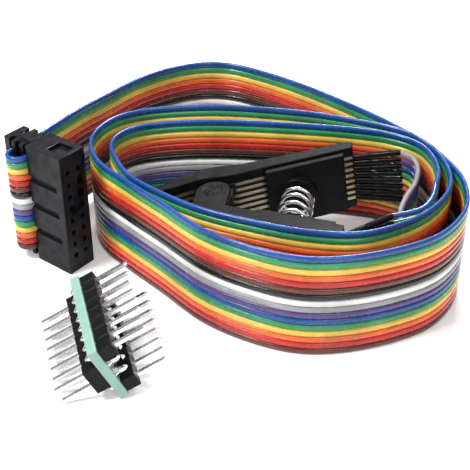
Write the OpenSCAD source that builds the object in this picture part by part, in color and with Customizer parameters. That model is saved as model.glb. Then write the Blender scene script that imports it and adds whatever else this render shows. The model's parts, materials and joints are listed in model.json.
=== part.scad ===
// IC test clip for a 16-pin small-outline chip, with its ribbon cable,
// a 2 x 8 cable socket and a plug-in adapter board. Millimetres, +Z up.
// The clip lies on its side inside a loose coil of its own ribbon.

/* [Clip] */
// Width of the clip along its pivot
clip_w = 13.4; // [12.6:0.2:16]
// Pivot to the tip of the nose
nose_l = 14; // [12:0.5:16]
// Pivot to the ends of the two handles
tail_l = 25; // [22:0.5:27]
// Nose-down tilt of the clip, in degrees
clip_tilt = 8; // [0:1:10]
// Turn of the clip seen from above, in degrees
clip_turn = -8; // [-12:1:0]

/* [Contacts] */
// Contacts in each jaw
ways = 8; // [4:1:8]
// Pitch of the contacts and of the ribbon's conductors
pitch = 1.27; // [1.27]
// Thickness of a contact strip
strip_t = 0.3; // [0.2:0.05:0.4]
// Width of a contact strip
strip_w = 0.6; // [0.4:0.1:0.8]

/* [Spring] */
// Outer diameter of the coil spring
spring_od = 6.6; // [5:0.2:7]
// Wire diameter of the coil spring
spring_wire = 0.7; // [0.5:0.1:1]
// Turns of the coil spring
spring_turns = 6; // [4:1:8]

/* [Pivot] */
// Diameter of the pivot pin
pin_d = 2.4; // [2:0.1:3]
// Radial clearance of the pin in the moving jaw
pin_play = 0.05; // [0.03:0.01:0.1]

/* [Sleeves] */
// Diameter of a heat-shrink sleeve
sleeve_d = 1.2; // [1:0.05:1.25]
// Length of a sleeve outside the handle
sleeve_l = 9.2; // [8:0.1:9.6]

/* [Socket] */
// Length of the socket along its two rows
socket_l = 24.9; // [24:0.1:26]
// Thickness of the socket across its two rows
socket_t = 6.2; // [6:0.1:6.6]
// Depth of the socket's body, mouth to ribbon
socket_d = 8.8; // [8:0.1:9.5]

/* [Adapter] */
// Long side of the adapter board
board_l = 20.8; // [20.4:0.1:22]
// Short side of the adapter board
board_w = 11.2; // [10.6:0.1:13]
// Thickness of the adapter board
board_t = 1.6; // [1:0.2:2]
// Lean of the board from upright, in degrees
board_lean = 25; // [20:1:30]

/* [Ribbon] */
// Thickness of the ribbon's insulation
ribbon_t = 0.9; // [0.8:0.05:1]

/* [Hidden] */
$fn = 48;

// Where the clip's pivot stands, and its height with the nose on the table
pivot_x = 31.5;
pivot_y = -1.4;
pivot_z = nose_l * sin(clip_tilt) + clip_w / 2 * cos(clip_tilt) + 0.05;

// Half-profile of a jaw: x from the pivot towards the handles, y outwards
inner_line = [[-nose_l, 0.4], [-11, 0.9], [-8, 1.7], [-3.4, 4.2], [3.4, 5.4],
  [8, 7.3], [19, 11.3], [tail_l, 13.5]];
outer_line = [[tail_l, 15.6], [tail_l - 1.2, 15.9], [15, 12.9], [4, 9.3], [-1, 8.8],
  [-4, 7.8], [-9, 4.8], [-nose_l, 2.1]];

// Pivot ears: the moving jaw's pair runs inside the fixed jaw's pair
ear_r = 3.2;
ear_t = 1.9;
ear_gap = 0.1;
outer_ear_z = clip_w / 2 - ear_t;
inner_ear_z = outer_ear_z - ear_gap - ear_t;
inner_ear_web = 5.6;
pin_head_r = 1.7;
pin_head_t = 0.5;

// Contact strips: sunk flush into the jaw's inner face
slot_play = 0.03;
rear_sleeve_angle = -4;
front_sleeve_angle = -30;
strip_tail = 2;
sleeve_fan = 2.2;

// Retainer plates over the strips, with the spring's seat and post
retainer_t = 1.5;
retainer_x0 = 9;
retainer_x1 = tail_l - 1.6;
retainer_slope = atan2(11.3 - 7.3, 19 - 8);
seat_x = 14.5;
seat_y = 7.4;
seat_r = 3.6;
post_r = 2;
post_h = 1.4;

// Spring coil
coil_r = (spring_od - spring_wire) / 2;
coil_steps = 14;

// Socket: x across the rows, y from the mouth to the strain relief
socket_turn = 52;
mouth_y = -7.3;
slit_y = mouth_y + socket_d;
cover_t = 3.0;
relief_t = 1.5;
fold_r = (cover_t + ribbon_t) / 2;
row_pitch = 2.54;
hole_w = 0.9;
hole_depth = 7.2;
socket_mid = socket_l / 2;

// Ribbon: 16 conductors on edge, lifted to the socket's middle at its start
conductors = 2 * ways;
ribbon_w = conductors * pitch;
start_lift = socket_mid - ribbon_w / 2;
// Route of the ribbon's middle seen from above: x, y, lift over the table
free_route = [[0, 11, 2.2], [4.5, 19, 1.8], [9, 26, 1.3], [14, 33.5, 0.8],
  [20, 39.5, 0.4], [27, 43.2, 0.1], [33.5, 43, 0], [40, 39.5, 0],
  [48, 33.5, 0], [56, 26, 0], [64, 17.5, 0], [71, 8, 0], [75, -1.5, 0],
  [75.6, -9, 0], [73.8, -16, 0], [69, -22.5, 0], [62, -26.6, 0],
  [53, -29.3, 0], [45, -29.4, 0], [37, -26.4, 0], [29, -21, 0],
  [21.5, -12.6, 0], [15, -5.5, 0], [10, 0.5, 0], [7.6, 6.5, 0],
  [7.6, 12, 0], [10.3, 17.6, 0], [15, 21, 0], [22, 22.8, 0],
  [31, 23.4, 0], [40, 22.4, 0], [50, 20.4, 0], [59, 17.2, 0],
  [67, 13.1, 0], [71.9, 6.4, 0], [73.6, -1.5, 0], [72.4, -8.8, 0],
  [67.9, -15.5, 0], [61.5, -20.2, 0], [54.5, -22.5, 0], [46, -21.6, 0],
  [37, -18.6, 0], [29, -15, 0], [22, -10, 0], [15.8, -4, 0],
  [12.8, 2, 0], [11.3, 7.5, 0], [12.6, 12, 0], [17, 15.2, 0],
  [25, 16.8, 0], [35, 16.8, 0], [46, 15.7, 0], [56, 14.2, 0],
  [64, 12, 0], [69.4, 8.2, 0], [71.5, 3, 0], [71.6, -2.5, 0],
  [70.4, -6.8, 0]];

// Leads: the upper conductors run to the fixed jaw, the lower to the moving
lead_d = 0.95;
lead_gap = 0.25;
front_bend = [[69.4, -10.3], [67.4, -13.2], [64.8, -14.2]];
rear_bend = [[68, -9], [65.8, -8.5], [64.9, -5.6], [66.2, -2.2],
  [68.3, 1], [69.1, 4], [68.3, 6.1]];

// Adapter board: x through the board, z up the board, y along the rows
board_x = 12;
board_y = -31.3;
board_turn = 15;
pin_w = 0.64;
plastic_h = 2.54;
pin_out = 5.9;
tail_out = 2.2;
row_tail_out = 1.1;
dip_span = 7.62;
board_hole_r = 0.5;
pad_r = 0.8;
pad_h = 0.7;
point_l = 0.5;
pin_reach = board_t / 2 + plastic_h + pin_out;
edge_drop = board_t / 2 * sin(board_lean) + board_w / 2 * cos(board_lean);
tip_drop = pin_reach * sin(board_lean)
  + (row_pitch / 2 + pin_w / 4) * cos(board_lean);
board_z = max(edge_drop, tip_drop) + 0.02;

// ---- helpers ----

function turned(p, a) = [p[0] * cos(a) - p[1] * sin(a),
  p[0] * sin(a) + p[1] * cos(a)];

function unit(v) = v / norm(v);

// Catmull-Rom point between b and c at t, 0 to 1
function curve_at(a, b, c, d, t) = 0.5 * (2 * b + (c - a) * t
  + (2 * a - 5 * b + 4 * c - d) * t * t
  + (3 * b - a - 3 * c + d) * t * t * t);

// A smooth line through pts, each span cut into n steps
function smooth(pts, n) = [for (i = [0 : len(pts) - 2], k = [0 : n - 1])
  curve_at(pts[max(i - 1, 0)], pts[i], pts[i + 1],
    pts[min(i + 2, len(pts) - 1)], k / n), pts[len(pts) - 1]];

function tangent(pts, i) = unit(pts[min(i + 1, len(pts) - 1)]
  - pts[max(i - 1, 0)]);

// Side faces and two end caps for rings of m points each
function tube_faces(n, m) = concat([[for (j = [0 : m - 1]) j]],
  [for (i = [0 : n - 2], j = [0 : m - 1])
    [i * m + j, (i + 1) * m + j, (i + 1) * m + (j + 1) % m,
      i * m + (j + 1) % m]],
  [[for (j = [m - 1 : -1 : 0]) (n - 1) * m + j]]);

// A round tube of diameter d along pts
module tube(pts, d, sides = 8) {
  rings = [for (i = [0 : len(pts) - 1])
    let (t = tangent(pts, i),
      u = unit(cross(t, abs(t[2]) > 0.9 ? [1, 0, 0] : [0, 0, 1])),
      v = cross(u, t))
    for (j = [0 : sides - 1])
      pts[i] + d / 2 * (cos(360 * j / sides) * u
        + sin(360 * j / sides) * v)];
  polyhedron(rings, tube_faces(len(pts), sides), convexity = 8);
}

// A thin strip of thickness t along a 2D line, as an outline
function side_of(pts, i, s) =
  let (a = unit(pts[i] - pts[max(i - 1, 0)] + (i == 0 ? pts[1] - pts[0] : [0, 0])),
    b = unit(pts[min(i + 1, len(pts) - 1)] - pts[i]
      + (i == len(pts) - 1 ? pts[i] - pts[i - 1] : [0, 0])),
    m = unit(a + b), k = max(m * a, 0.5))
  pts[i] + s / k * [-m[1], m[0]];

module strip_2d(pts, t) {
  polygon(concat([for (i = [0 : len(pts) - 1]) side_of(pts, i, t / 2)],
    [for (i = [len(pts) - 1 : -1 : 0]) side_of(pts, i, -t / 2)]));
}

module on_clip() {
  translate([pivot_x, pivot_y, pivot_z])
    rotate([0, -clip_tilt, clip_turn]) children();
}

module on_socket() {
  rotate([0, 0, socket_turn]) children();
}

module on_board() {
  translate([board_x, board_y, board_z]) rotate([0, 0, board_turn])
    rotate([0, -board_lean, 0]) children();
}

// ---- the clip's two jaws ----

function way_z(i) = (i - (ways - 1) / 2) * pitch;

// Middle line of a contact strip, ending inside its sleeve
function strip_line(sleeve_angle) =
  let (end = [tail_l, 13.5 + strip_t / 2])
  [[-nose_l - 0.3, 1.4], [-nose_l - 0.3, 0.25], [-13, 0.3 + strip_t / 2],
    [-11, 0.9 + strip_t / 2], [-8, 1.7 + strip_t / 2],
    [-3.4, 4.2 + strip_t / 2], [3.4, 5.4 + strip_t / 2],
    [8, 7.3 + strip_t / 2], [19, 11.3 + strip_t / 2], end,
    end + strip_tail * [cos(sleeve_angle), sin(sleeve_angle)]];

module strips(sleeve_angle, play = 0) {
  for (i = [0 : ways - 1])
    translate([0, 0, way_z(i) - strip_w / 2 - play])
      linear_extrude(strip_w + 2 * play)
        strip_2d(strip_line(sleeve_angle), strip_t + 2 * play);
}

module ear(z0) {
  for (s = [-1, 1]) translate([0, 0, s * (z0 + ear_t / 2) - ear_t / 2]) {
    cylinder(h = ear_t, r = ear_r);
    translate([-ear_r, 0, 0]) cube([2 * ear_r, inner_ear_web, ear_t]);
  }
}

// Grip ridges across the outer face of the handle
module grip_ridges() {
  for (x = [12.6 : 1.4 : tail_l - 2.5])
    translate([x, 12.9 + (x - 15) * 3 / 8.8, -clip_w / 2])
      cylinder(h = clip_w, r = 0.35, $fn = 24);
}

module jaw(ear_z, bore_r, sleeve_angle) {
  difference() {
    union() {
      translate([0, 0, -clip_w / 2]) linear_extrude(clip_w)
        polygon(concat(inner_line, outer_line));
      ear(ear_z);
      grip_ridges();
    }
    translate([0, 0, -clip_w]) cylinder(h = 2 * clip_w, r = bore_r);
    strips(sleeve_angle, slot_play);
    // the nose narrows to the row of contacts
    for (s = [-1, 1])
      translate([-nose_l - 1, -1, s * (clip_w / 2 + 0.9) - 1.5])
        cube([5.2, 6, 3]);
  }
}

module front_jaw() {
  color("#191919") on_clip() mirror([0, 1, 0]) difference() {
    jaw(outer_ear_z, pin_d / 2, front_sleeve_angle);
    // seats for the heads of the pivot pin
    for (s = [-1, 1])
      translate([0, 0, s * (clip_w / 2 + 1 - pin_head_t) - 1])
        cylinder(h = 2, r = pin_head_r);
  }
}

module rear_jaw() {
  color("#191919") on_clip()
    jaw(inner_ear_z, pin_d / 2 + pin_play, rear_sleeve_angle);
}

module pivot_pin() {
  color("#2a2a2c") on_clip() {
    cylinder(h = clip_w - 2 * pin_head_t, r = pin_d / 2, center = true);
    for (s = [-1, 1])
      translate([0, 0, s * (clip_w / 2 - pin_head_t / 2)])
        cylinder(h = pin_head_t, r = pin_head_r, center = true);
  }
}

module coil_spring() {
  n = spring_turns * coil_steps;
  half = seat_y - spring_wire / 2 - 0.02;
  pts = [for (i = [0 : n]) let (a = 360 * i / coil_steps,
    u = i / n, y = -half + 2 * half * (u - 0.03 * sin(360 * u)))
    [seat_x + coil_r * cos(a), y, coil_r * sin(a)]];
  color("#c9ccd1") on_clip() tube(pts, spring_wire, 6);
}

module retainer(sleeve_angle) {
  difference() {
    retainer_plate();
    // the contact strips lie in shallow grooves of the plate
    strips(sleeve_angle, slot_play);
  }
}

module retainer_plate() {
  y0 = 7.3 + (retainer_x0 - 8) * tan(retainer_slope);
  y1 = 11.3 + (retainer_x1 - 19) * (13.5 - 11.3) / (tail_l - 19);
  translate([0, 0, -clip_w / 2 + 0.6]) linear_extrude(clip_w - 1.2)
    polygon([[retainer_x0, y0], [19, 11.3], [retainer_x1, y1],
      [retainer_x1, y1 - retainer_t], [19, 11.3 - retainer_t],
      [retainer_x0, y0 - retainer_t]]);
  // flat seat and centre post for the spring
  intersection() {
    translate([seat_x, seat_y + 2, 0]) rotate([90, 0, 0])
      cylinder(h = 2, r = seat_r);
    translate([0, 0, -clip_w / 2]) linear_extrude(clip_w)
      polygon([[seat_x - 5, seat_y], [seat_x + 5, seat_y],
        [seat_x + 5, 7.3 + (seat_x - 3) * tan(retainer_slope)],
        [seat_x - 5, 7.3 + (seat_x - 13) * tan(retainer_slope)]]);
  }
  translate([seat_x, seat_y + 0.2, 0]) rotate([90, 0, 0])
    cylinder(h = post_h + 0.2, r = post_r);
}

module front_retainer() {
  color("#202022") on_clip() mirror([0, 1, 0])
    retainer(front_sleeve_angle);
}

module rear_retainer() {
  color("#202022") on_clip() retainer(rear_sleeve_angle);
}

module front_contacts() {
  color("#c8b88a") on_clip() mirror([0, 1, 0])
    strips(front_sleeve_angle);
}

module rear_contacts() {
  color("#c8b88a") on_clip() strips(rear_sleeve_angle);
}

// One sleeve's start and end in the clip's frame, y outwards
function sleeve_start(i) = [tail_l + 0.05, 13.5 + strip_t / 2, way_z(i)];
function sleeve_dir(i, a) = unit([cos(a), sin(a),
  tan(sleeve_fan) * (i - (ways - 1) / 2) * 0.7]);
function sleeve_end(i, a) = sleeve_start(i) + sleeve_l * sleeve_dir(i, a);

module sleeves(a) {
  difference() {
    for (i = [0 : ways - 1]) {
      d = sleeve_dir(i, a);
      translate(sleeve_start(i)) rotate([0, acos(d[2]), atan2(d[1], d[0])])
        cylinder(h = sleeve_l, r = sleeve_d / 2, $fn = 24);
    }
    strips(a);
  }
}

module front_sleeves() {
  color("#121212") on_clip() mirror([0, 1, 0])
    sleeves(front_sleeve_angle);
}

module rear_sleeves() {
  color("#121212") on_clip() sleeves(rear_sleeve_angle);
}

// ---- cable and leads ----

// A point of the clip's frame in the table's frame
function clip_to_table(p) =
  let (x = p[0] * cos(clip_tilt) - p[2] * sin(clip_tilt),
    z = p[0] * sin(clip_tilt) + p[2] * cos(clip_tilt),
    q = turned([x, p[1]], clip_turn))
  [q[0] + pivot_x, q[1] + pivot_y, z + pivot_z];

function mirrored(p) = [p[0], -p[1], p[2]];
function conductor_z(k) = (k + 0.5) * pitch;

// Leads fan from the ribbon's end to the sleeves, heights eased between
function lead_points(k, bend, sleeve_tip) =
  let (r = free_route[len(free_route) - 1],
    z0 = conductor_z(k), n = len(bend) + 1)
  concat([[r[0], r[1], z0]],
    [for (i = [0 : len(bend) - 1]) let (u = (i + 1) / n,
      e = (u + u * u * (3 - 2 * u)) / 2)
      [bend[i][0], bend[i][1], z0 + (sleeve_tip[2] - z0) * e]],
    [sleeve_tip]);

module front_leads() {
  color("#2f7fbf") for (i = [0 : ways - 1])
    tube(smooth(lead_points(ways + i, front_bend, clip_to_table(
      mirrored(sleeve_end(i, front_sleeve_angle)))), 3), lead_d);
}

// Stops just outside the moving sleeves, which the real wires run into
module rear_leads() {
  color("#3fae6a") for (i = [0 : ways - 1])
    tube(smooth(lead_points(i, rear_bend, clip_to_table(
      sleeve_end(i, rear_sleeve_angle)
      + lead_gap * sleeve_dir(i, rear_sleeve_angle))), 3), lead_d);
}

// The ribbon through the socket: slit, fold round the cover, and out
fold_start = -socket_t / 2 + 0.2;
socket_route = [for (p = concat(
  [[socket_t / 2, slit_y + ribbon_t / 2], [0, slit_y + ribbon_t / 2]],
  [for (a = [-90 : -30 : -270])
    [fold_start + fold_r * cos(a), slit_y + ribbon_t / 2 + fold_r
      + fold_r * sin(a)]],
  [[0, slit_y + ribbon_t / 2 + 2 * fold_r],
    [socket_t / 2, slit_y + ribbon_t / 2 + 2 * fold_r]]))
  let (q = turned(p, socket_turn)) [q[0], q[1], start_lift]];

// The band of the ribbon from z0 to z1 above its lower edge
module ribbon_band(z0, z1) {
  pts = concat(socket_route, smooth(concat(
    [socket_route[len(socket_route) - 1]], free_route), 2));
  flat = [for (p = pts) [p[0], p[1], 0]];
  n = len(pts);
  rings = [for (i = [0 : n - 1]) let (t = tangent(flat, i),
    s = ribbon_t / 2 * [-t[1], t[0]])
    for (c = [[-1, 0], [1, 0], [1, 1], [-1, 1]])
      [pts[i][0] + c[0] * s[0], pts[i][1] + c[0] * s[1],
        pts[i][2] + z0 + c[1] * (z1 - z0)]];
  polyhedron(rings, tube_faces(n, 4), convexity = 12);
}

module ribbon_cable() {
  color("#3d6db5") ribbon_band(pitch, ribbon_w - 0.02);
}

// The lowest conductor, which stands on the table
module ribbon_first_wire() {
  color("#6b3a24") ribbon_band(0.02, pitch);
}

// ---- cable socket ----

function pin_pos(k) = [(k % 2 - 0.5) * row_pitch,
  (floor(k / 2) - (ways - 1) / 2) * row_pitch];

module socket_body() {
  color("#1c1c1e") on_socket() difference() {
    union() {
      translate([-socket_t / 2, mouth_y, 0])
        cube([socket_t, socket_d, socket_l]);
      // polarising key on the far side
      translate([socket_t / 2, mouth_y + 1, socket_mid - 2])
        cube([0.7, 5, 4]);
    }
    for (k = [0 : 2 * ways - 1]) let (p = pin_pos(k))
      translate([p[0] - hole_w / 2, mouth_y - 1,
        socket_mid + p[1] - hole_w / 2])
        cube([hole_w, hole_depth + 1, hole_w]);
    // grooves between the panels of the near side
    for (i = [-1 : 1])
      translate([-socket_t / 2 - 1, mouth_y + 1.6,
        socket_mid + i * 5.6 - 0.6])
        cube([1.6, socket_d, 1.2]);
    // recess in each end face
    for (z = [-1, socket_l - 0.8])
      translate([-1.6, mouth_y + 1.2, z]) cube([3.2, 3.4, 1.8]);
  }
}

module socket_cover() {
  y0 = slit_y + ribbon_t;
  color("#1c1c1e") on_socket() difference() {
    union() {
      translate([-socket_t / 2 + 0.2, y0, 0.4])
        cube([socket_t - 0.4, cover_t, socket_l - 0.8]);
      // end legs that clip over the body beside the ribbon
      for (z = [0, socket_l - 1.8])
        translate([-1.5, slit_y, z]) cube([3, cover_t, 1.8]);
    }
    for (s = [-1, 1])
      translate([s * 2.6 - 0.7, y0 + 1, -1])
        cube([1.4, cover_t - 2, socket_l + 2]);
  }
}

module strain_relief() {
  y0 = slit_y + 2 * ribbon_t + cover_t;
  color("#1c1c1e") on_socket() {
    translate([-socket_t / 2 + 0.6, y0, 0.4])
      cube([socket_t - 1.2, relief_t, socket_l - 0.8]);
    for (z = [0.4, socket_l - 1.6])
      translate([-1.2, y0 - ribbon_t, z]) cube([2.4, ribbon_t + 0.4, 1.2]);
  }
}

module socket_contacts() {
  color("#c8b88a") on_socket() for (k = [0 : 2 * ways - 1])
    let (p = pin_pos(k)) translate([p[0] - hole_w / 2,
      mouth_y + 1.5, socket_mid + p[1] - 0.25])
      cube([0.2, hole_depth - 1.5, 0.5]);
}

// ---- adapter board ----

module board_holes(r) {
  for (k = [0 : 2 * ways - 1]) let (p = pin_pos(k))
    translate([0, p[1], p[0]]) rotate([0, 90, 0])
      cylinder(h = 4 * board_t, r = r, center = true, $fn = 24);
  for (s = [-1, 1], i = [0 : ways - 1])
    translate([0, (i - (ways - 1) / 2) * row_pitch, s * dip_span / 2])
      rotate([0, 90, 0])
        cylinder(h = 4 * board_t, r = r, center = true, $fn = 24);
}

module adapter_board() {
  color("#a9d6b4") on_board() difference() {
    cube([board_t, board_l, board_w], center = true);
    board_holes(board_hole_r);
  }
}

// A strip of header plastic, notched between its ways
module header_plastic(side, z_mid, rows) {
  h = rows * row_pitch;
  x0 = side > 0 ? board_t / 2 : -board_t / 2 - plastic_h;
  difference() {
    translate([x0, -ways * row_pitch / 2 + 0.05, z_mid - h / 2])
      cube([plastic_h, ways * row_pitch - 0.1, h]);
    for (i = [1 : ways - 1], s = [-1, 1])
      translate([x0 - 1, (i - ways / 2) * row_pitch, z_mid + s * h / 2])
        rotate([45, 0, 0]) translate([0, -0.35, -0.35])
          cube([plastic_h + 2, 0.7, 0.7]);
    for (r = [0 : rows - 1], i = [0 : ways - 1])
      translate([x0 - 1, (i - (ways - 1) / 2) * row_pitch - pin_w / 2,
        z_mid + (r - (rows - 1) / 2) * row_pitch - pin_w / 2])
        cube([plastic_h + 2, pin_w, pin_w]);
  }
}

// A square pin along x with four-sided points at both ends
module square_pin(x0, x1) {
  translate([x0 + point_l, -pin_w / 2, -pin_w / 2])
    cube([x1 - x0 - 2 * point_l, pin_w, pin_w]);
  for (e = [[x0 + point_l, -90], [x1 - point_l, 90]])
    translate([e[0], 0, 0]) rotate([0, e[1], 0]) rotate([0, 0, 45])
      cylinder(h = point_l, r1 = pin_w / sqrt(2), r2 = pin_w / 4, $fn = 4);
}

module row_pins(s) {
  color("#d3d5d8") on_board() for (i = [0 : ways - 1])
    translate([0, (i - (ways - 1) / 2) * row_pitch, s * dip_span / 2])
      square_pin(-board_t / 2 - row_tail_out, pin_reach);
}

module socket_header() {
  color("#171717") on_board() header_plastic(-1, 0, 2);
}

module socket_header_pins() {
  color("#d3d5d8") on_board() for (k = [0 : 2 * ways - 1])
    let (p = pin_pos(k)) translate([0, p[1], p[0]])
      square_pin(-pin_reach, board_t / 2 + tail_out);
}

module row_header_a() {
  color("#171717") on_board() header_plastic(1, dip_span / 2, 1);
}

module row_header_b() {
  color("#171717") on_board() header_plastic(1, -dip_span / 2, 1);
}

module row_pins_a() {
  row_pins(1);
}

module row_pins_b() {
  row_pins(-1);
}

// A solder cone round a square pin, on the face at side
module solder_cone(side, y, z) {
  difference() {
    translate([side * board_t / 2, y, z]) rotate([0, side * 90, 0])
      cylinder(h = pad_h, r1 = pad_r, r2 = pin_w * 0.72, $fn = 24);
    translate([-2 * board_t, y - pin_w / 2, z - pin_w / 2])
      cube([4 * board_t, pin_w, pin_w]);
  }
}

module socket_header_solder() {
  color("#c4c8cc") on_board() for (k = [0 : 2 * ways - 1])
    let (p = pin_pos(k)) solder_cone(1, p[1], p[0]);
}

module row_solder() {
  color("#c4c8cc") on_board() for (s = [-1, 1], i = [0 : ways - 1])
    solder_cone(-1, (i - (ways - 1) / 2) * row_pitch, s * dip_span / 2);
}

front_jaw();
rear_jaw();
pivot_pin();
coil_spring();
front_retainer();
rear_retainer();
front_contacts();
rear_contacts();
front_sleeves();
rear_sleeves();
front_leads();
rear_leads();
ribbon_cable();
ribbon_first_wire();
socket_body();
socket_cover();
strain_relief();
socket_contacts();
adapter_board();
socket_header();
socket_header_pins();
row_header_a();
row_header_b();
row_pins_a();
row_pins_b();
socket_header_solder();
row_solder();
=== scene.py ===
"""Looks of the IC test clip, its ribbon cable, cable socket and adapter board.

Metres, +Z up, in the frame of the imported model. The pieces are surfaces
worked out with numpy, or softened copies of the frame's own solids.
"""

import json
import math

import bmesh
import bpy
import numpy as np
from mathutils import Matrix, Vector


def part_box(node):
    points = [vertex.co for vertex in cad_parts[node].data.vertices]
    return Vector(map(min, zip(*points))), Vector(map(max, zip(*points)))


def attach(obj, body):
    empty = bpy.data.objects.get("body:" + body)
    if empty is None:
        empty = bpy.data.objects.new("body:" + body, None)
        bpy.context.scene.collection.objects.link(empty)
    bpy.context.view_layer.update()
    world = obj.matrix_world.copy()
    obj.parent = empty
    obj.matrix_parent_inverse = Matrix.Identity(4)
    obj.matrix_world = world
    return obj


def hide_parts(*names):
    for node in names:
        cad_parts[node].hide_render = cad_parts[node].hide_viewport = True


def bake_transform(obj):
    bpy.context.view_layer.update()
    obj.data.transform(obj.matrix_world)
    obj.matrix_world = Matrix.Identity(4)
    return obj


MM = 0.001

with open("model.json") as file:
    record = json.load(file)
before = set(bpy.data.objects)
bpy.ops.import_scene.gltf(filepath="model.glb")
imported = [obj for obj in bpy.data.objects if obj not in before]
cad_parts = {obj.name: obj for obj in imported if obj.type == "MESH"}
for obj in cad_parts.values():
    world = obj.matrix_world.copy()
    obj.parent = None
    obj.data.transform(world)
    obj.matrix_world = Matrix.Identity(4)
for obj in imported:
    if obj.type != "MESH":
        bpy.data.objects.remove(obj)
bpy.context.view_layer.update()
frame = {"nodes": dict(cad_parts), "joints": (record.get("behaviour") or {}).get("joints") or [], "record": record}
BODY_OF = {
    node: body
    for body, nodes in frame["record"]["behaviour"]["bodies"].items()
    for node in nodes
}
HINGE = next(j for j in frame["joints"] if j["name"] == "jaw_hinge")

# ---- sizes, in millimetres, as the frame has them ----

WAYS = 8
PITCH = 1.27
RIBBON_THICK = 0.9
WIRE_THICK = 0.88
SOCKET_LONG = 24.9
RIBBON_LIFT = SOCKET_LONG / 2 - WAYS * PITCH
CONDUCTOR_WIDE = 0.63
CONDUCTOR_SQUARE = 0.9
LEAD_R = 0.475
SOCKET_TURN = 52
SOCKET_THICK = 6.2
SLIT_Y = 1.5
COVER_THICK = 3.0
TAIL = (25.05, 13.65)
SLEEVE_LONG = 9.2
SLEEVE_R = 0.6
SLEEVE_FAN = 0.7 * math.tan(math.radians(2.2))
REAR_SLEEVE_ANGLE = -4
FRONT_SLEEVE_ANGLE = -30
CLIP_WIDE = 13.4
PIN_RINGS = (0.75, 1.35)
PIN_RING_BEAD = 0.09
SPRING_X = 14.5
SPRING_SEAT = 7.4
SPRING_COIL_R = 2.95
SPRING_WIRE_R = 0.35
SPRING_TURNS = 6
BOARD_TURN = 15
BOARD_LEAN = 25
BOARD_THICK = 1.6
ROW_PITCH = 2.54
DIP_SPAN = 7.62

# Camera: degrees above the table, and metres
CAMERA_RISE = 34.1
CAMERA_AWAY = 0.1916
CAMERA_AIM = (0.0347, -0.0083, 0.01)

# Route of the ribbon's middle seen from above: x, y, lift over the table
FREE_ROUTE = [
    (0, 11, 2.2), (4.5, 19, 1.8), (9, 26, 1.3), (14, 33.5, 0.8),
    (20, 39.5, 0.4), (27, 43.2, 0.1), (33.5, 43, 0), (40, 39.5, 0),
    (48, 33.5, 0), (56, 26, 0), (64, 17.5, 0), (71, 8, 0), (75, -1.5, 0),
    (75.6, -9, 0), (73.8, -16, 0), (69, -22.5, 0), (62, -26.6, 0),
    (53, -29.3, 0), (45, -29.4, 0), (37, -26.4, 0), (29, -21, 0),
    (21.5, -12.6, 0), (15, -5.5, 0), (10, 0.5, 0), (7.6, 6.5, 0),
    (7.6, 12, 0), (10.3, 17.6, 0), (15, 21, 0), (22, 22.8, 0),
    (31, 23.4, 0), (40, 22.4, 0), (50, 20.4, 0), (59, 17.2, 0),
    (67, 13.1, 0), (71.9, 6.4, 0), (73.6, -1.5, 0), (72.4, -8.8, 0),
    (67.9, -15.5, 0), (61.5, -20.2, 0), (54.5, -22.5, 0), (46, -21.6, 0),
    (37, -18.6, 0), (29, -15, 0), (22, -10, 0), (15.8, -4, 0),
    (12.8, 2, 0), (11.3, 7.5, 0), (12.6, 12, 0), (17, 15.2, 0),
    (25, 16.8, 0), (35, 16.8, 0), (46, 15.7, 0), (56, 14.2, 0),
    (64, 12, 0), (69.4, 8.2, 0), (71.5, 3, 0), (71.6, -2.5, 0),
    (70.4, -6.8, 0),
]
FRONT_BEND = [(69.4, -10.3), (67.4, -13.2), (64.8, -14.2)]
REAR_BEND = [(68, -9), (65.8, -8.5), (64.9, -5.6), (66.2, -2.2),
             (68.3, 1), (69.1, 4), (68.3, 6.1)]

# Insulation colours in the order of the standard code, lowest wire first
WIRE_COLOURS = {
    "brown": (0.12, 0.025, 0.015),
    "red": (0.5, 0.02, 0.016),
    "orange": (0.72, 0.13, 0.025),
    "yellow": (0.74, 0.5, 0.08),
    "green": (0.025, 0.26, 0.1),
    "blue": (0.006, 0.065, 0.27),
    "purple": (0.085, 0.05, 0.2),
    "grey": (0.3, 0.3, 0.32),
    "white": (0.78, 0.78, 0.76),
    "black": (0.006, 0.006, 0.007),
}
CODE = list(WIRE_COLOURS)


# ---- frames of the clip, the socket and the board ----

def turned(x, y, degrees):
    """A point turned about Z: the usual two-by-two rotation."""
    a = math.radians(degrees)
    return x * math.cos(a) - y * math.sin(a), x * math.sin(a) + y * math.cos(a)


def clip_axes():
    """Axes of the clip, from the hinge: Z along the pivot pin, X towards the
    handles, which is Z tipped a quarter turn in its own upright plane."""
    z = -np.array(HINGE["axis"], float)
    z /= np.linalg.norm(z)
    flat = -z[:2] / np.hypot(*z[:2])
    x = np.array([flat[0] * z[2], flat[1] * z[2], np.hypot(*z[:2])])
    return np.stack([x, np.cross(z, x), z])


CLIP_AXES = clip_axes()
PIVOT = np.array(HINGE["pos_m"], float)


def clip_points(points_mm):
    """Points of the clip's own frame, in millimetres, put in the frame."""
    return PIVOT + MM * np.asarray(points_mm, float) @ CLIP_AXES


def board_axes():
    """X through the board, turned about Z and then leant back; Y along it."""
    a, b = math.radians(BOARD_TURN), math.radians(BOARD_LEAN)
    y = np.array([-math.sin(a), math.cos(a), 0])
    x = np.array([math.cos(a) * math.cos(b), math.sin(a) * math.cos(b),
                  math.sin(b)])
    return np.stack([x, y, np.cross(x, y)])


BOARD_AXES = board_axes()


def board_points(points_mm):
    """Points of the board's own frame, in millimetres, put in the frame."""
    low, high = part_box("adapter_board")
    centre = (np.array(low) + np.array(high)) / 2
    return centre + MM * np.asarray(points_mm, float) @ BOARD_AXES


# ---- surfaces ----

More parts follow.
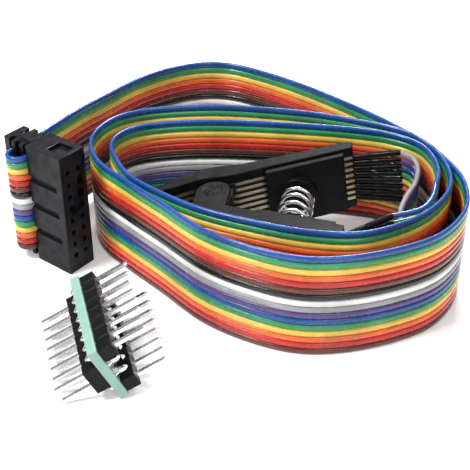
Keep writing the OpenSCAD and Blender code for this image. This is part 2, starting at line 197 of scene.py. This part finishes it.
def smooth_line(points, steps):
    """Catmull-Rom line: between b and c, with a before and d after,
    half of 2b + (c-a)t + (2a-5b+4c-d)tt + (3b-a-3c+d)ttt."""
    p = np.asarray(points, float)
    p = np.vstack([p[:1], p, p[-1:]])
    a, b, c, d = (p[i:len(p) - 3 + i, None] for i in range(4))
    t = (np.arange(steps) / steps)[None, :, None]
    line = 0.5 * (2 * b + (c - a) * t + (2 * a - 5 * b + 4 * c - d) * t ** 2
                  + (3 * b - a - 3 * c + d) * t ** 3)
    return np.vstack([line.reshape(-1, p.shape[1]), p[-1:]])


def tube(line, across, up, sides=12, power=1.0):
    """A closed tube along a line. Each ring is the line's point plus
    cos(a)**power * across sideways and sin(a)**power * up, with sideways
    level and square to the line."""
    line = np.asarray(line, float)
    n = len(line)
    t = np.gradient(line, axis=0)
    t /= np.linalg.norm(t, axis=1)[:, None]
    side = np.cross(t, [0, 0, 1])
    side /= np.linalg.norm(side, axis=1)[:, None]
    top = np.cross(side, t)
    a = 2 * np.pi * np.arange(sides) / sides
    wave = [np.sign(f(a)) * np.abs(f(a)) ** power for f in (np.cos, np.sin)]
    across, up = (np.broadcast_to(np.asarray(v, float), n) for v in (across, up))
    points = (line[:, None] + (across[:, None] * wave[0])[..., None] * side[:, None]
              + (up[:, None] * wave[1])[..., None] * top[:, None])
    i, j = np.meshgrid(np.arange(n - 1), np.arange(sides), indexing="ij")
    k = (j + 1) % sides
    quads = np.stack([i * sides + j, i * sides + k, (i + 1) * sides + k,
                      (i + 1) * sides + j], -1).reshape(-1, 4)
    ends = [list(range(sides))[::-1], list(range((n - 1) * sides, n * sides))]
    return points.reshape(-1, 3), quads.tolist() + ends


def joined(parts):
    """Several (points, faces) surfaces as one."""
    points, faces, base = [], [], 0
    for p, f in parts:
        points.append(p)
        faces += [[v + base for v in face] for face in f]
        base += len(p)
    return np.vstack(points), faces


def piece(name, surface, material, body=None):
    """A mesh object from (points, faces), with one material."""
    points, faces = surface
    mesh = bpy.data.meshes.new(name)
    mesh.from_pydata(points.tolist(), [], faces)
    mesh.shade_smooth()
    mesh.set_sharp_from_angle(angle=math.radians(50))
    work = bmesh.new()
    work.from_mesh(mesh)
    bmesh.ops.recalc_face_normals(work, faces=work.faces)
    work.to_mesh(mesh)
    work.free()
    mesh.materials.append(material)
    made = bpy.data.objects.new(name, mesh)
    bpy.context.scene.collection.objects.link(made)
    if body:
        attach(made, body)
    return made


def softened(node, material, radius_mm, segments=2):
    """A merged copy of a solid with its edges rounded, in the solid's place."""
    mesh = frame["nodes"][node].data.copy()
    work = bmesh.new()
    work.from_mesh(mesh)
    bmesh.ops.remove_doubles(work, verts=work.verts, dist=1e-6)
    bmesh.ops.dissolve_limit(work, angle_limit=math.radians(0.5),
                             verts=work.verts, edges=work.edges)
    work.to_mesh(mesh)
    work.free()
    mesh.shade_smooth()
    mesh.set_sharp_from_angle(angle=math.radians(35))
    mesh.materials.clear()
    mesh.materials.append(material)
    made = bpy.data.objects.new(node + "_shape", mesh)
    bpy.context.scene.collection.objects.link(made)
    bevel = made.modifiers.new("edges", "BEVEL")
    bevel.width = radius_mm * MM
    bevel.segments = segments
    bevel.limit_method = "ANGLE"
    bevel.angle_limit = math.radians(40)
    bevel.use_clamp_overlap = False
    bevel.harden_normals = False
    normals = made.modifiers.new("normals", "WEIGHTED_NORMAL")
    normals.keep_sharp = True
    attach(made, BODY_OF[node])
    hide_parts(node)
    return made


# ---- effects shared by the materials ----

def effect(name, inputs, outputs):
    """An empty shader node group with named number sockets and a vector."""
    group = bpy.data.node_groups.new(name, "ShaderNodeTree")
    group.interface.new_socket("Vector", in_out="INPUT",
                               socket_type="NodeSocketVector")
    for label, value in inputs.items():
        made = group.interface.new_socket(label, in_out="INPUT",
                                          socket_type="NodeSocketFloat")
        made.default_value = value
    for label in outputs:
        group.interface.new_socket(label, in_out="OUTPUT",
                                   socket_type="NodeSocketFloat")
    return (group, group.nodes.new("NodeGroupInput"),
            group.nodes.new("NodeGroupOutput"))


def noise(tree, vector, scale, detail=3.0, rough=0.5):
    """A noise texture; scale is a socket or a number, in waves per metre."""
    made = tree.nodes.new("ShaderNodeTexNoise")
    made.inputs["Detail"].default_value = detail
    made.inputs["Roughness"].default_value = rough
    tree.links.new(vector, made.inputs["Vector"])
    if isinstance(scale, (int, float)):
        made.inputs["Scale"].default_value = scale
    else:
        tree.links.new(scale, made.inputs["Scale"])
    return made.outputs["Fac"]


def sums(tree, kind, a, b):
    """One Math node; a and b are sockets or numbers."""
    made = tree.nodes.new("ShaderNodeMath")
    made.operation = kind
    for socket, value in zip(made.inputs, (a, b)):
        if isinstance(value, (int, float)):
            socket.default_value = value
        else:
            tree.links.new(value, socket)
    return made.outputs[0]


def fitted(tree, value, low, high, to_low, to_high):
    """value mapped from low..high to to_low..to_high, held at both ends."""
    made = tree.nodes.new("ShaderNodeMapRange")
    made.interpolation_type = "SMOOTHSTEP"
    tree.links.new(value, made.inputs["Value"])
    for label, number in (("From Min", low), ("From Max", high),
                          ("To Min", to_low), ("To Max", to_high)):
        made.inputs[label].default_value = number
    return made.outputs["Result"]


def moulded_grain():
    """Height: fine spark-eroded grain over slow waves. Patches: where the
    surface is a little duller."""
    group, into, out = effect("moulded_grain", {"Scale": 6000.0},
                              ["Height", "Patches"])
    link = group.links.new
    vector, scale = into.outputs["Vector"], into.outputs["Scale"]
    fine = noise(group, vector, scale, 2.0, 0.6)
    slow = noise(group, vector, 260.0, 3.0)
    link(sums(group, "ADD", fine, sums(group, "MULTIPLY", slow, 1.5)),
         out.inputs["Height"])
    link(fitted(group, noise(group, vector, 420.0, 4.0), 0.35, 0.7, 0, 1),
         out.inputs["Patches"])
    return group


def handling_marks():
    """Mask of thin scratches and dust: narrow bands of a stretched noise,
    kept only inside patches of a wider noise."""
    group, into, out = effect("handling_marks", {"Scale": 900.0, "Amount": 0.5},
                              ["Mask"])
    link = group.links.new
    place = group.nodes.new("ShaderNodeMapping")
    place.inputs["Scale"].default_value = (1.0, 0.18, 0.7)
    place.inputs["Rotation"].default_value = (0.3, 0.4, 0.8)
    link(into.outputs["Vector"], place.inputs["Vector"])
    lines = noise(group, place.outputs["Vector"], into.outputs["Scale"], 2.0)
    near = sums(group, "ABSOLUTE", sums(group, "SUBTRACT", lines, 0.5), 0)
    thin = fitted(group, near, 0.0, 0.012, 1, 0)
    where = fitted(group, noise(group, into.outputs["Vector"], 330.0), 0.5,
                   0.68, 0, 1)
    link(sums(group, "MULTIPLY", sums(group, "MULTIPLY", thin, where),
              into.outputs["Amount"]), out.inputs["Mask"])
    return group


GRAIN = moulded_grain()
MARKS = handling_marks()


def blank_material(name, base, roughness, metallic=0.0, coat=0.0):
    """A Principled material, its tree, shader and Object coordinates."""
    made = bpy.data.materials.new(name)
    made.use_nodes = True
    made.diffuse_color = (*base, 1)
    tree = made.node_tree
    shader = tree.nodes["Principled BSDF"]
    shader.inputs["Base Color"].default_value = (*base, 1)
    shader.inputs["Roughness"].default_value = roughness
    shader.inputs["Metallic"].default_value = metallic
    shader.inputs["Coat Weight"].default_value = coat
    shader.inputs["Coat Roughness"].default_value = 0.15
    place = tree.nodes.new("ShaderNodeTexCoord").outputs["Object"]
    return made, tree, shader, place


def placed(tree, group, place, **values):
    """A group put in a material, with its own values."""
    made = tree.nodes.new("ShaderNodeGroup")
    made.node_tree = group
    tree.links.new(place, made.inputs["Vector"])
    for label, value in values.items():
        made.inputs[label].default_value = value
    return made


def mixed(tree, factor, a, b):
    """Colour a to colour b by a factor; a is a colour or a socket."""
    made = tree.nodes.new("ShaderNodeMix")
    made.data_type = "RGBA"
    tree.links.new(factor, made.inputs["Factor"])
    for index, value in ((6, a), (7, b)):
        if isinstance(value, tuple):
            made.inputs[index].default_value = (*value, 1)
        else:
            tree.links.new(value, made.inputs[index])
    return made.outputs[2]


def bumped(tree, shader, height, strength, distance_mm):
    """A Bump node from height to the shader's normal."""
    made = tree.nodes.new("ShaderNodeBump")
    made.inputs["Strength"].default_value = strength
    made.inputs["Distance"].default_value = distance_mm * MM
    tree.links.new(height, made.inputs["Height"])
    tree.links.new(made.outputs["Normal"], shader.inputs["Normal"])


# ---- materials ----

def moulded_plastic(name, base, roughness, marks=0.5, grain=6000.0):
    """Black moulded plastic: grain, dull patches and faint pale scuffs."""
    made, tree, shader, place = blank_material(name, base, roughness)
    rough = placed(tree, GRAIN, place, Scale=grain)
    worn = placed(tree, MARKS, place, Amount=marks)
    paler = tuple(min(1.0, c * 3.2 + 0.025) for c in base)
    shader.inputs["Specular IOR Level"].default_value = 0.16
    tree.links.new(mixed(tree, worn.outputs["Mask"], base, paler),
                   shader.inputs["Base Color"])
    tree.links.new(fitted(tree, rough.outputs["Patches"], 0, 1,
                          roughness - 0.07, roughness + 0.1),
                   shader.inputs["Roughness"])
    bumped(tree, shader, rough.outputs["Height"], 0.3, 0.02)
    return made


def wire_insulation(name, colour):
    """Soft shiny PVC: slow changes of tone and faint ripples."""
    made, tree, shader, place = blank_material(name, colour, 0.24, coat=0.15)
    tone = fitted(tree, noise(tree, place, 140.0, 2.0), 0.3, 0.7, 0, 1)
    darker = tuple(c * 0.82 for c in colour)
    lighter = tuple(min(1.0, c * 1.14 + 0.004) for c in colour)
    tree.links.new(mixed(tree, tone, darker, lighter),
                   shader.inputs["Base Color"])
    ripple = noise(tree, place, 900.0, 3.0)
    tree.links.new(fitted(tree, ripple, 0.3, 0.7, 0.17, 0.3),
                   shader.inputs["Roughness"])
    shader.inputs["Specular IOR Level"].default_value = 0.45
    bumped(tree, shader, ripple, 0.2, 0.03)
    return made


def plated_metal(name, colour, roughness, marks=0.4):
    """Tinned or plated metal: uneven sheen and fine drawing marks."""
    made, tree, shader, place = blank_material(name, colour, roughness, 1.0)
    worn = placed(tree, MARKS, place, Scale=2200.0, Amount=marks)
    duller = tuple(c * 0.6 for c in colour)
    tree.links.new(mixed(tree, worn.outputs["Mask"], colour, duller),
                   shader.inputs["Base Color"])
    sheen = noise(tree, place, 2600.0, 3.0)
    tree.links.new(fitted(tree, sheen, 0.3, 0.7, roughness - 0.05,
                          roughness + 0.08), shader.inputs["Roughness"])
    bumped(tree, shader, sheen, 0.06, 0.004)
    return made


def board_laminate(name, colour):
    """Pale green coated laminate: a faint cloth weave under the coat."""
    made, tree, shader, place = blank_material(name, colour, 0.36, coat=0.35)
    waves = []
    for direction in ("X", "Z"):
        wave = tree.nodes.new("ShaderNodeTexWave")
        wave.bands_direction = direction
        wave.inputs["Scale"].default_value = 1100.0
        wave.inputs["Distortion"].default_value = 0.6
        tree.links.new(place, wave.inputs["Vector"])
        waves.append(wave.outputs["Fac"])
    weave = sums(tree, "MULTIPLY", *waves)
    cloud = noise(tree, place, 300.0, 3.0)
    tone = sums(tree, "ADD", sums(tree, "MULTIPLY", weave, 0.2),
                sums(tree, "MULTIPLY", cloud, 0.8))
    darker = tuple(c * 0.82 for c in colour)
    tree.links.new(mixed(tree, fitted(tree, tone, 0.2, 0.75, 0, 1), darker,
                         colour), shader.inputs["Base Color"])
    bumped(tree, shader, weave, 0.08, 0.01)
    return made


JAW = moulded_plastic("jaw_moulding", (0.0035, 0.0035, 0.004), 0.42)
RETAINER = moulded_plastic("retainer_moulding", (0.003, 0.003, 0.0035), 0.5)
SOCKET = moulded_plastic("socket_moulding", (0.005, 0.005, 0.008), 0.4, 0.7)
HEADER = moulded_plastic("header_moulding", (0.0035, 0.0035, 0.0035), 0.42, 0.3)
SLEEVE = moulded_plastic("shrunk_sleeve", (0.003, 0.003, 0.0035), 0.3, 0.25,
                         2500.0)
PIN_PLASTIC = moulded_plastic("pin_moulding", (0.008, 0.008, 0.009), 0.34, 0.6)
SPRING = plated_metal("spring_wire", (0.78, 0.79, 0.81), 0.16, 0.3)
# Contact strips: plated metal colour, darkened as painted shade for strips lying in the jaws' grooves; the
# socket's contacts share it
CONTACT_PAINTED_SHADE = plated_metal("contact_strip_painted_shade", (0.52, 0.46, 0.34), 0.34)
TINNED = plated_metal("tinned_pin", (0.7, 0.7, 0.71), 0.22)
SOLDER = plated_metal("solder", (0.66, 0.67, 0.7), 0.22, 0.2)
BOARD = board_laminate("board_green", (0.26, 0.46, 0.37))
INSULATION = {
    name: wire_insulation("insulation_" + name, colour)
    for name, colour in WIRE_COLOURS.items()
}


def insulation(k):
    """Material of conductor k, counted from the lowest, by the code."""
    return INSULATION[CODE[k % len(CODE)]]


# ---- the clip ----

def sleeve_line(i, angle, mirror, n=26):
    """Middle of sleeve i: straight from the handle's end, fanned in Z."""
    a = math.radians(angle)
    across = i - (WAYS - 1) / 2
    step = np.array([math.cos(a), math.sin(a), SLEEVE_FAN * across])
    step /= np.linalg.norm(step)
    u = np.linspace(0, 1, n)[:, None]
    line = np.array([TAIL[0], TAIL[1], across * PITCH]) + SLEEVE_LONG * u * step
    return clip_points(line * [1, -1 if mirror else 1, 1])


def sleeve_radius(n, i):
    """Full over the joint, a small neck after it, and drawn in to the wire
    over the last tenth, with slow unevenness that differs per sleeve."""
    u = np.linspace(0, 1, n)
    r = SLEEVE_R - 0.05 * np.exp(-((u - 0.42) / 0.06) ** 2)
    r -= 0.09 * np.clip((u - 0.9) / 0.1, 0, 1) ** 2
    r -= 0.12 * np.exp(-(u / 0.02) ** 2)
    return r + 0.012 * np.sin(9 * u + 1.7 * i)


def sleeves(name, angle, mirror, node):
    """Eight heat-shrink sleeves on one jaw's tail."""
    parts = []
    for i in range(WAYS):
        line = sleeve_line(i, angle, mirror)
        r = sleeve_radius(len(line), i) * MM
        parts.append(tube(line, r, r, 16))
    made = piece(name, joined(parts), SLEEVE, BODY_OF[node])
    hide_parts(node)
    return made


def spring():
    """Helix with closing ends: angle runs evenly, height slows at both ends
    by 0.03 sin of a full turn. The tube's rings stand square to the wire."""
    n = SPRING_TURNS * 36
    u = np.linspace(0, 1, n + 1)
    a = 2 * np.pi * SPRING_TURNS * u
    half = SPRING_SEAT - SPRING_WIRE_R - 0.02
    y = -half + 2 * half * (u - 0.03 * np.sin(2 * np.pi * u))
    line = np.stack([SPRING_X + SPRING_COIL_R * np.cos(a), y,
                     SPRING_COIL_R * np.sin(a)], 1)
    t = np.gradient(line, axis=0)
    t /= np.linalg.norm(t, axis=1)[:, None]
    out = np.stack([np.cos(a), np.zeros_like(a), np.sin(a)], 1)
    side = np.cross(t, out)
    side /= np.linalg.norm(side, axis=1)[:, None]
    out = np.cross(side, t)
    b = 2 * np.pi * np.arange(12) / 12
    r = SPRING_WIRE_R
    points = (line[:, None] + r * np.cos(b)[None, :, None] * out[:, None]
              + r * np.sin(b)[None, :, None] * side[:, None])
    _, faces = tube(line, 1, 1, 12)
    surface = clip_points(points.reshape(-1, 3)), faces
    made = piece("spring_coil", surface, SPRING)
    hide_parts("coil_spring")
    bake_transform(made)


def ring_faces(n, m):
    """Quads of a closed ring of n sections, each a closed loop of m points."""
    i, j = np.meshgrid(np.arange(n), np.arange(m), indexing="ij")
    k, q = (i + 1) % n, (j + 1) % m
    faces = np.stack([i * m + j, k * m + j, k * m + q, i * m + q], -1)
    return faces.reshape(-1, 4).tolist()


def ring_mark(name, centre, r_mm, wire_mm, material, body, axes):
    """A thin round bead, radius r, on a flat face: a torus of two circles."""
    n, m = 48, 8
    a = np.linspace(0, 2 * np.pi, n, endpoint=False)
    b = np.linspace(0, 2 * np.pi, m, endpoint=False)
    big = r_mm + wire_mm * np.cos(b)[None, :]
    local = np.stack([big * np.cos(a)[:, None], big * np.sin(a)[:, None],
                      np.broadcast_to(wire_mm * np.sin(b), (n, m))], -1)
    points = centre + MM * local.reshape(-1, 3) @ axes
    return piece(name, (points, ring_faces(n, m)), material, body)


def clip():
    """The two jaws, their inner plates, the pin, the contacts, the spring."""
    for node in ("front_jaw", "rear_jaw"):
        softened(node, JAW, 0.22, 3)
    for node in ("front_retainer", "rear_retainer"):
        softened(node, RETAINER, 0.12)
    softened("pivot_pin", PIN_PLASTIC, 0.12)
    for node in ("front_contacts", "rear_contacts"):
        dress(node, CONTACT_PAINTED_SHADE)
    spring()
    sleeves("front_sleeve_tubes", FRONT_SLEEVE_ANGLE, True, "front_sleeves")
    sleeves("rear_sleeve_tubes", REAR_SLEEVE_ANGLE, False, "rear_sleeves")
    for side, label in ((1, "top"), (-1, "bottom")):
        centre = clip_points([[0, 0, side * CLIP_WIDE / 2]])[0]
        for r in PIN_RINGS:
            name = f"pin_ring_{label}_{int(r * 100)}"
            made = ring_mark(name, centre, r, PIN_RING_BEAD, PIN_PLASTIC,
                             BODY_OF["pivot_pin"], CLIP_AXES)


def dress(node, material):
    """A CAD solid kept as it is, with its finish."""
    mesh = frame["nodes"][node].data
    mesh.materials.clear()
    mesh.materials.append(material)


# ---- the cable ----

def socket_route():
    """The ribbon through the socket: the slit, half a circle round the
    cover on the near side, and back out under the strain relief."""
    fold_r = (COVER_THICK + RIBBON_THICK) / 2
    y0 = SLIT_Y + RIBBON_THICK / 2
    edge = SOCKET_THICK / 2
    a = np.radians(np.arange(-90, -271, -10))
    bend = np.stack([-edge + 0.2 + fold_r * np.cos(a),
                     y0 + fold_r + fold_r * np.sin(a)], 1)
    runs = [np.stack([np.linspace(edge, 0, 6), np.full(6, y0)], 1), bend,
            np.stack([np.linspace(0, edge, 6), np.full(6, y0 + 2 * fold_r)], 1)]
    flat = np.vstack(runs)
    x, y = turned(flat[:, 0], flat[:, 1], SOCKET_TURN)
    return np.stack([x, y, np.full(len(x), RIBBON_LIFT)], 1)


def ribbon_route():
    """The whole ribbon's middle line, lift in z, in millimetres."""
    start = socket_route()
    free = smooth_line([start[-1], *FREE_ROUTE], 12)
    return np.vstack([start[:-1], free])


def conductor_line(route, k):
    """Conductor k of the ribbon: its middle, raised to its own height."""
    return route + [0, 0, (k + 0.5) * PITCH]


def lead_line(k, bend, tip_mm):
    """The split end of conductor k: from the ribbon's end, round the bend,
    to its sleeve. Its height eases half evenly, half by 3uu - 2uuu."""
    x, y, _ = FREE_ROUTE[-1]
    z0 = (k + 0.5) * PITCH
    n = len(bend) + 1
    u = np.arange(1, n) / n
    ease = (u + u * u * (3 - 2 * u)) / 2
    z = z0 + (tip_mm[2] - z0) * ease
    inner = [(bx, by, bz) for (bx, by), bz in zip(bend, z)]
    return smooth_line([(x, y, z0), *inner, tip_mm], 12)


def leads(label, wires, bend, angle, mirror, node):
    """Eight split ends, each in its own colour, into one jaw's sleeves."""
    made = {}
    for i, k in enumerate(wires):
        tip = sleeve_line(i, angle, mirror)[-2]
        line = MM * lead_line(k, bend, tuple(tip / MM))
        run = np.linspace(0, 1, len(line))
        share = np.clip(run / 0.14, 0, 1)
        share = share * share * (3 - 2 * share)
        across = RIBBON_THICK / 2 + (LEAD_R - RIBBON_THICK / 2) * share
        up = CONDUCTOR_WIDE + (LEAD_R - CONDUCTOR_WIDE) * share
        made[k] = piece(f"{label}_lead_{k + 1:02d}",
                        tube(line, across * MM, up * MM, 12), insulation(k))
    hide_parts(node)
    return made


def cable():
    """The ribbon's 16 conductors and their split ends."""
    front = leads("front", range(WAYS, 2 * WAYS), FRONT_BEND,
                  FRONT_SLEEVE_ANGLE, True, "front_leads")
    rear = leads("rear", range(WAYS), REAR_BEND, REAR_SLEEVE_ANGLE, False,
                 "rear_leads")
    for lead in front.values():
        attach(lead, BODY_OF["front_leads"])
    for lead in rear.values():
        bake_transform(lead)
    route = ribbon_route()
    for k in range(2 * WAYS):
        line = MM * conductor_line(route, k)
        wire = piece(f"ribbon_wire_{k + 1:02d}",
                     tube(line, WIRE_THICK / 2 * MM, CONDUCTOR_WIDE * MM, 14,
                          CONDUCTOR_SQUARE), insulation(k), BODY_OF["ribbon_cable"])
        if k == 0:
            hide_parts("ribbon_first_wire")
        if k == 1:
            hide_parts("ribbon_cable")
        lead = {**front, **rear}[k]


# ---- the socket and the adapter ----

def cable_socket():
    """Body, cover and strain relief with rounded edges."""
    for node in ("socket_body", "socket_cover", "strain_relief"):
        softened(node, SOCKET, 0.16)
    dress("socket_contacts", CONTACT_PAINTED_SHADE)


def pad_rings(name, side, places):
    """Thin tinned rings round the holes: a flat ring, raised a hair."""
    n = 28
    a = np.linspace(0, 2 * np.pi, n, endpoint=False)
    x = side * (BOARD_THICK / 2 + np.array([0.0, 0.03, 0.03, 0.0]))
    r = np.array([0.95, 0.93, 0.5, 0.5])
    parts = []
    for y, z in places:
        points = np.stack([np.broadcast_to(x, (n, len(x))),
                           y + r * np.cos(a)[:, None],
                           z + r * np.sin(a)[:, None]], -1)
        parts.append((board_points(points.reshape(-1, 3)),
                      ring_faces(n, len(x))))
    made = piece(name, joined(parts), SOLDER, BODY_OF["adapter_board"])


def adapter():
    """The board with its pads, the three headers, pins and solder."""
    softened("adapter_board", BOARD, 0.12)
    for node in ("socket_header", "row_header_a", "row_header_b"):
        softened(node, HEADER, 0.1)
    for node in ("socket_header_pins", "row_pins_a", "row_pins_b"):
        dress(node, TINNED)
    for node in ("socket_header_solder", "row_solder"):
        dress(node, SOLDER)
    along = (np.arange(WAYS) - (WAYS - 1) / 2) * ROW_PITCH
    inner = [(y, s * ROW_PITCH / 2) for y in along for s in (-1, 1)]
    outer = [(y, s * DIP_SPAN / 2) for y in along for s in (-1, 1)]
    pad_rings("header_pads", 1, inner)
    pad_rings("row_pads", -1, outer)


# ---- stage ----

def stage_floor():
    """A pale floor that adds a little light of its own to what looks at it."""
    size = 1.5
    mesh = bpy.data.meshes.new("floor")
    mesh.from_pydata([(-size, -size, -5e-5), (size, -size, -5e-5),
                      (size, size, -5e-5), (-size, size, -5e-5)], [],
                     [(0, 1, 2, 3)])
    made, tree, shader, _ = blank_material("floor_card", (0.9, 0.9, 0.9), 0.9)
    shader.inputs["Specular IOR Level"].default_value = 0.1
    path = tree.nodes.new("ShaderNodeLightPath")
    seen = sums(tree, "MAXIMUM", path.outputs["Is Camera Ray"],
                path.outputs["Is Glossy Ray"])
    tree.links.new(sums(tree, "MULTIPLY", seen, 0.22),
                   shader.inputs["Emission Strength"])
    shader.inputs["Emission Color"].default_value = (1, 1, 1, 1)
    mesh.materials.append(made)
    floor = bpy.data.objects.new("floor", mesh)
    bpy.context.scene.collection.objects.link(floor)


def lamp(name, place, aim, size, power):
    """A square soft lamp at a place, aimed at a point."""
    data = bpy.data.lights.new(name, "AREA")
    data.size = size
    data.energy = power
    made = bpy.data.objects.new(name, data)
    made.location = place
    made.rotation_euler = (Vector(aim) - Vector(place)).to_track_quat(
        "-Z", "Y").to_euler()
    bpy.context.scene.collection.objects.link(made)


def studio():
    """World light, two lamps, and the camera."""
    scene = bpy.context.scene
    scene.view_settings.view_transform = "Standard"
    world = bpy.data.worlds.new("studio")
    world.use_nodes = True
    tree = world.node_tree
    ground = tree.nodes["Background"]
    ground.inputs["Color"].default_value = (1, 1, 1, 1)
    path = tree.nodes.new("ShaderNodeLightPath")
    split = tree.nodes.new("ShaderNodeSeparateXYZ")
    tree.links.new(tree.nodes.new("ShaderNodeTexCoord").outputs["Generated"],
                   split.inputs[0])
    above = fitted(tree, split.outputs["Z"], 0.1, 0.9, 0.1, 0.9)
    soft = fitted(tree, split.outputs["Z"], -0.1, 0.6, 0.36, 0.58)
    glossy = path.outputs["Is Glossy Ray"]
    level = sums(tree, "ADD", sums(tree, "MULTIPLY", glossy, above),
                 sums(tree, "MULTIPLY", sums(tree, "SUBTRACT", 1.0, glossy), soft))
    tree.links.new(sums(tree, "MAXIMUM", level, path.outputs["Is Camera Ray"]),
                   ground.inputs["Strength"])
    scene.world = world
    middle = CAMERA_AIM
    lamp("key", (-0.22, -0.12, 0.45), middle, 0.12, 2.4)
    lamp("back", (0.1, 0.36, 0.4), middle, 0.14, 2.6)
    lamp("front", (0.15, -0.4, 0.3), middle, 0.2, 0.5)
    elevation = math.radians(CAMERA_RISE)
    data = bpy.data.cameras.new("camera")
    data.lens = 80.6
    data.sensor_width = 36
    data.clip_start = 0.01
    camera = bpy.data.objects.new("camera", data)
    ahead = Vector((0, math.cos(elevation), -math.sin(elevation)))
    camera.location = Vector(middle) - CAMERA_AWAY * ahead
    camera.rotation_euler = ahead.to_track_quat("-Z", "Y").to_euler()
    scene.collection.objects.link(camera)
    scene.camera = camera


studio()
stage_floor()
clip()
cable_socket()
cable()
adapter()
